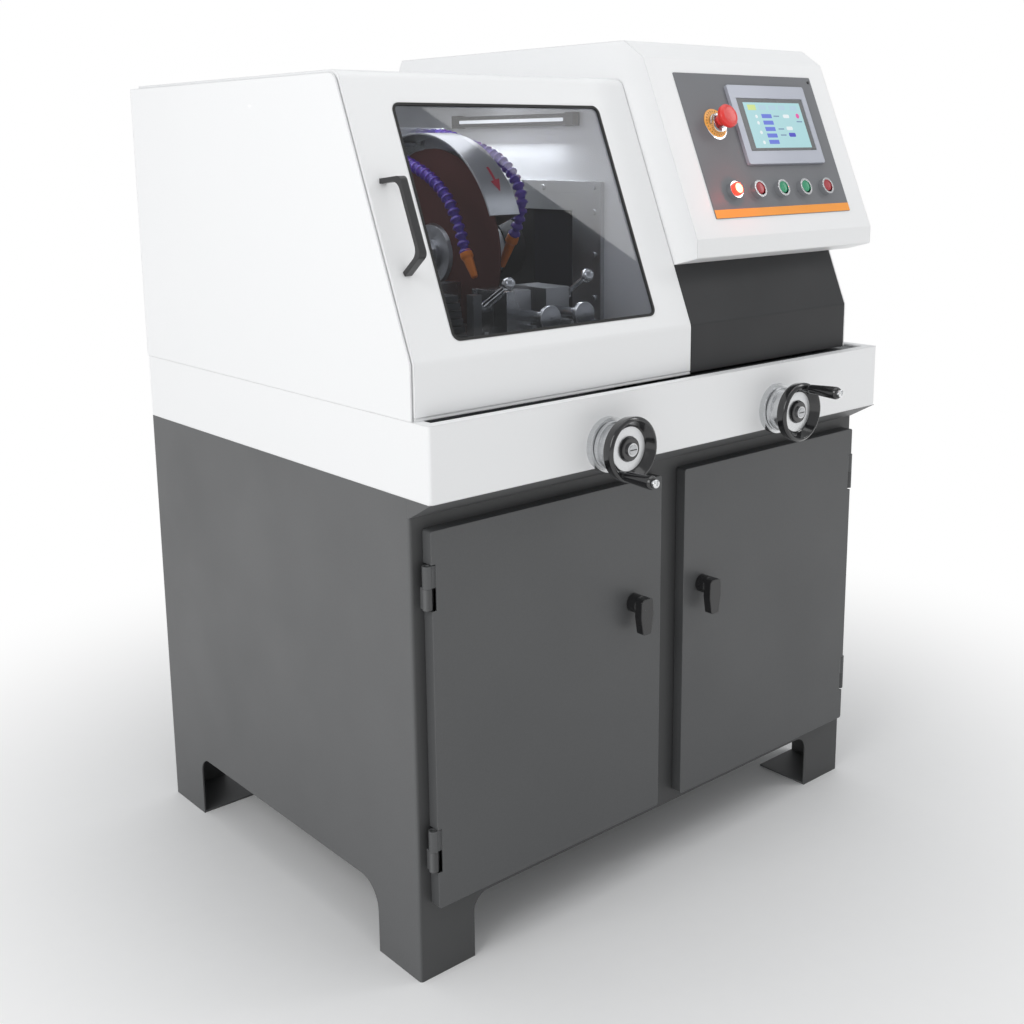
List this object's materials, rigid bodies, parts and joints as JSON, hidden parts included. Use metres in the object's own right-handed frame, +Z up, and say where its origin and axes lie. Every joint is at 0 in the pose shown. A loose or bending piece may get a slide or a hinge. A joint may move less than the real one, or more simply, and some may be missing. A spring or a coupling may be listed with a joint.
{
  "type": "wet abrasive cut-off machine",
  "caption": "Floor-standing wet abrasive cut-off machine with a hinged glazed hood, guarded wheel head, slotted vise table, front handwheels, control housing and two-door cabinet.",
  "frame": {"origin": "on the floor under the middle of the whole machine's bounding box", "axes": "+Z up, +X to the operator's right, -Y towards the operator, the front"},
  "size_m": [1.02, 0.965, 1.381],
  "materials": {
    "cabinet_paint": "dark grey powder coat, fine orange peel",
    "door_paint": "dark grey powder coat",
    "white_paint": "satin white enamel",
    "black_paint": "black powder coat",
    "panel_grey": "fine textured grey with an orange band along its foot",
    "bezel_silver": "silver-grey moulded bezel",
    "lamp_red": "translucent red lens",
    "chrome_trim": "bright chrome",
    "steel": "ground and machined steel",
    "stainless": "brushed stainless sheet",
    "zinc": "zinc plated",
    "iron": "machined cast iron",
    "aluminium": "turned aluminium",
    "bellows_black": "dark coated pleated fabric",
    "gasket_rubber": "black rubber",
    "window_glass": "clear laminated glass",
    "lamp_white": "diffuser",
    "wheel_black": "glossy black phenolic",
    "lever_black": "satin black",
    "motor_paint": "grey-blue enamel",
    "hose_violet": "violet modular hose beads",
    "nozzle_orange": "orange moulded plastic",
    "belt_rubber": "toothed belt rubber",
    "abrasive": "resin-bonded abrasive, brown-red, speckled",
    "button_red": "red",
    "button_green": "green",
    "estop_red": "red mushroom head",
    "tank_steel": "galvanised sheet",
    "panel_board": "grey plate with devices",
    "gland_black": "black nylon"
  },
  "bodies": {
    "machine_frame": {"cabinet_body": "cabinet_paint", "door_hinge_pins": "cabinet_paint", "coolant_tank": "tank_steel", "coolant_pump": "motor_paint", "electrical_panel": "panel_board", "cable_gland": "gland_black", "bed_tray": "white_paint", "shaft_bearings": "aluminium", "machine_base": "iron", "linear_rails": "steel", "hood_side_panel": "white_paint", "hood_back_panel": "white_paint", "partition_wall": "white_paint", "control_housing": "white_paint", "lower_front_panel": "black_paint", "control_panel": "panel_grey", "touchscreen": "bezel_silver", "pilot_lamp": "lamp_red", "button_rings": "chrome_trim", "bellows_frame": "stainless", "bellows": "bellows_black", "chamber_lamp": "lamp_white"},
    "hood_cover": {"cover_panel": "white_paint", "window_gasket": "gasket_rubber", "cover_window": "window_glass", "cover_handle": "lever_black"},
    "left_door": {"left_door": "door_paint"},
    "right_door": {"right_door": "door_paint"},
    "left_latch": {"left_door_lever": "lever_black"},
    "right_latch": {"right_door_lever": "lever_black"},
    "table": {"work_table": "iron", "vise_frames": "steel"},
    "left_feed": {"left_feed_shaft": "aluminium", "left_handwheel": "wheel_black"},
    "right_feed": {"lead_screw": "aluminium", "right_handwheel": "wheel_black"},
    "left_grip": {"left_grip": "wheel_black"},
    "right_grip": {"right_grip": "wheel_black"},
    "left_jaw": {"left_jaw": "steel"},
    "right_jaw": {"right_jaw": "steel"},
    "left_screw": {"left_clamp_screw": "steel"},
    "right_screw": {"right_clamp_screw": "steel"},
    "left_cam": {"left_cam_lever": "chrome_trim"},
    "right_cam": {"right_cam_lever": "chrome_trim"},
    "wheel_head": {"carriage": "iron", "spindle_housing": "black_paint", "drive_motor": "motor_paint", "wheel_guard": "stainless", "coolant_hoses": "hose_violet", "coolant_nozzles": "nozzle_orange", "drive_belt": "belt_rubber"},
    "spindle": {"spindle_shaft": "steel", "wheel_flanges": "zinc", "cutting_wheel": "abrasive"},
    "motor_rotor": {"motor_pulley": "steel"},
    "estop": {"estop_head": "estop_red"},
    "button_a": {"left_red_button": "button_red"},
    "button_b": {"left_green_button": "button_green"},
    "button_c": {"right_green_button": "button_green"},
    "button_d": {"right_red_button": "button_red"}
  },
  "joints": [
    {"name": "cover_hinge", "type": "hinge", "parent": "machine_frame", "child": "hood_cover", "pos_m": [-0.232, 0.4645, 1.306], "axis": [-1, 0, 0], "range_deg": [0, 70]},
    {"name": "left_door_hinge", "type": "hinge", "parent": "machine_frame", "child": "left_door", "pos_m": [-0.4905, -0.3195, 0.4], "axis": [0, 0, -1], "range_deg": [0, 110]},
    {"name": "right_door_hinge", "type": "hinge", "parent": "machine_frame", "child": "right_door", "pos_m": [0.4905, -0.3195, 0.4], "axis": [0, 0, 1], "range_deg": [0, 110]},
    {"name": "left_latch_turn", "type": "hinge", "parent": "left_door", "child": "left_latch", "pos_m": [-0.089, -0.3275, 0.497], "axis": [0, 1, 0], "range_deg": [0, 90]},
    {"name": "right_latch_turn", "type": "hinge", "parent": "right_door", "child": "right_latch", "pos_m": [0.074, -0.3275, 0.492], "axis": [0, -1, 0], "range_deg": [0, 90]},
    {"name": "table_slide", "type": "slide", "parent": "machine_frame", "child": "table", "axis": [1, 0, 0], "range_m": [-0.01, 0.01]},
    {"name": "left_feed_turn", "type": "hinge", "parent": "machine_frame", "child": "left_feed", "pos_m": [-0.179, -0.3875, 0.776], "axis": [0, 1, 0], "range_deg": [-57.5, 57.5]},
    {"name": "left_grip_spin", "type": "hinge", "parent": "left_feed", "child": "left_grip", "pos_m": [-0.20073, -0.4185, 0.74123], "axis": [0, 1, 0], "continuous": true},
    {"name": "carriage_slide", "type": "slide", "parent": "machine_frame", "child": "wheel_head", "axis": [0, 1, 0], "range_m": [-0.06, 0.02], "deforming": ["bellows"]},
    {"name": "right_feed_turn", "type": "hinge", "parent": "machine_frame", "child": "right_feed", "pos_m": [0.22, -0.3875, 0.776], "axis": [0, 1, 0], "range_deg": [-2161, 721]},
    {"name": "right_grip_spin", "type": "hinge", "parent": "right_feed", "child": "right_grip", "pos_m": [0.23267, -0.4185, 0.81499], "axis": [0, 1, 0], "continuous": true},
    {"name": "left_jaw_slide", "type": "slide", "parent": "table", "child": "left_jaw", "axis": [0, 1, 0], "range_m": [0, 0.03]},
    {"name": "left_screw_turn", "type": "hinge", "parent": "left_jaw", "child": "left_screw", "pos_m": [-0.221, -0.2275, 0.961], "axis": [0, 1, 0], "range_deg": [-1, 3601]},
    {"name": "right_jaw_slide", "type": "slide", "parent": "table", "child": "right_jaw", "axis": [0, 1, 0], "range_m": [0, 0.03]},
    {"name": "right_screw_turn", "type": "hinge", "parent": "right_jaw", "child": "right_screw", "pos_m": [-0.151, -0.2275, 0.961], "axis": [0, 1, 0], "range_deg": [-1, 3601]},
    {"name": "left_cam_turn", "type": "hinge", "parent": "left_jaw", "child": "left_cam", "pos_m": [-0.2574, -0.1605, 0.971], "axis": [-1, 0, 0], "range_deg": [0, 60]},
    {"name": "right_cam_turn", "type": "hinge", "parent": "table", "child": "right_cam", "pos_m": [-0.1186, -0.1995, 0.983], "axis": [-1, 0, 0], "range_deg": [0, 60]},
    {"name": "spindle_turn", "type": "hinge", "parent": "wheel_head", "child": "spindle", "pos_m": [-0.186, 0.0505, 1.037], "axis": [1, 0, 0], "continuous": true},
    {"name": "motor_turn", "type": "hinge", "parent": "wheel_head", "child": "motor_rotor", "pos_m": [0.05, 0.1225, 1.037], "axis": [1, 0, 0], "continuous": true},
    {"name": "estop_press", "type": "slide", "parent": "machine_frame", "child": "estop", "axis": [0, 0.9189, -0.3945], "range_m": [0, 0.005]},
    {"name": "left_red_press", "type": "slide", "parent": "machine_frame", "child": "button_a", "axis": [0, 0.9189, -0.3945], "range_m": [0, 0.004], "stiffness_N_per_m": 400},
    {"name": "left_green_press", "type": "slide", "parent": "machine_frame", "child": "button_b", "axis": [0, 0.9189, -0.3945], "range_m": [0, 0.004], "stiffness_N_per_m": 400},
    {"name": "right_green_press", "type": "slide", "parent": "machine_frame", "child": "button_c", "axis": [0, 0.9189, -0.3945], "range_m": [0, 0.004], "stiffness_N_per_m": 400},
    {"name": "right_red_press", "type": "slide", "parent": "machine_frame", "child": "button_d", "axis": [0, 0.9189, -0.3945], "range_m": [0, 0.004], "stiffness_N_per_m": 400}
  ],
  "couplings": [
    {"joint": "left_feed_turn", "follows": "table_slide", "rad_per_m": 100},
    {"joint": "right_feed_turn", "follows": "carriage_slide", "rad_per_m": 628.32},
    {"joint": "left_screw_turn", "follows": "left_jaw_slide", "rad_per_m": 2094.4},
    {"joint": "right_screw_turn", "follows": "right_jaw_slide", "rad_per_m": 2094.4},
    {"joint": "motor_turn", "follows": "spindle_turn", "ratio": 0.8}
  ]
}
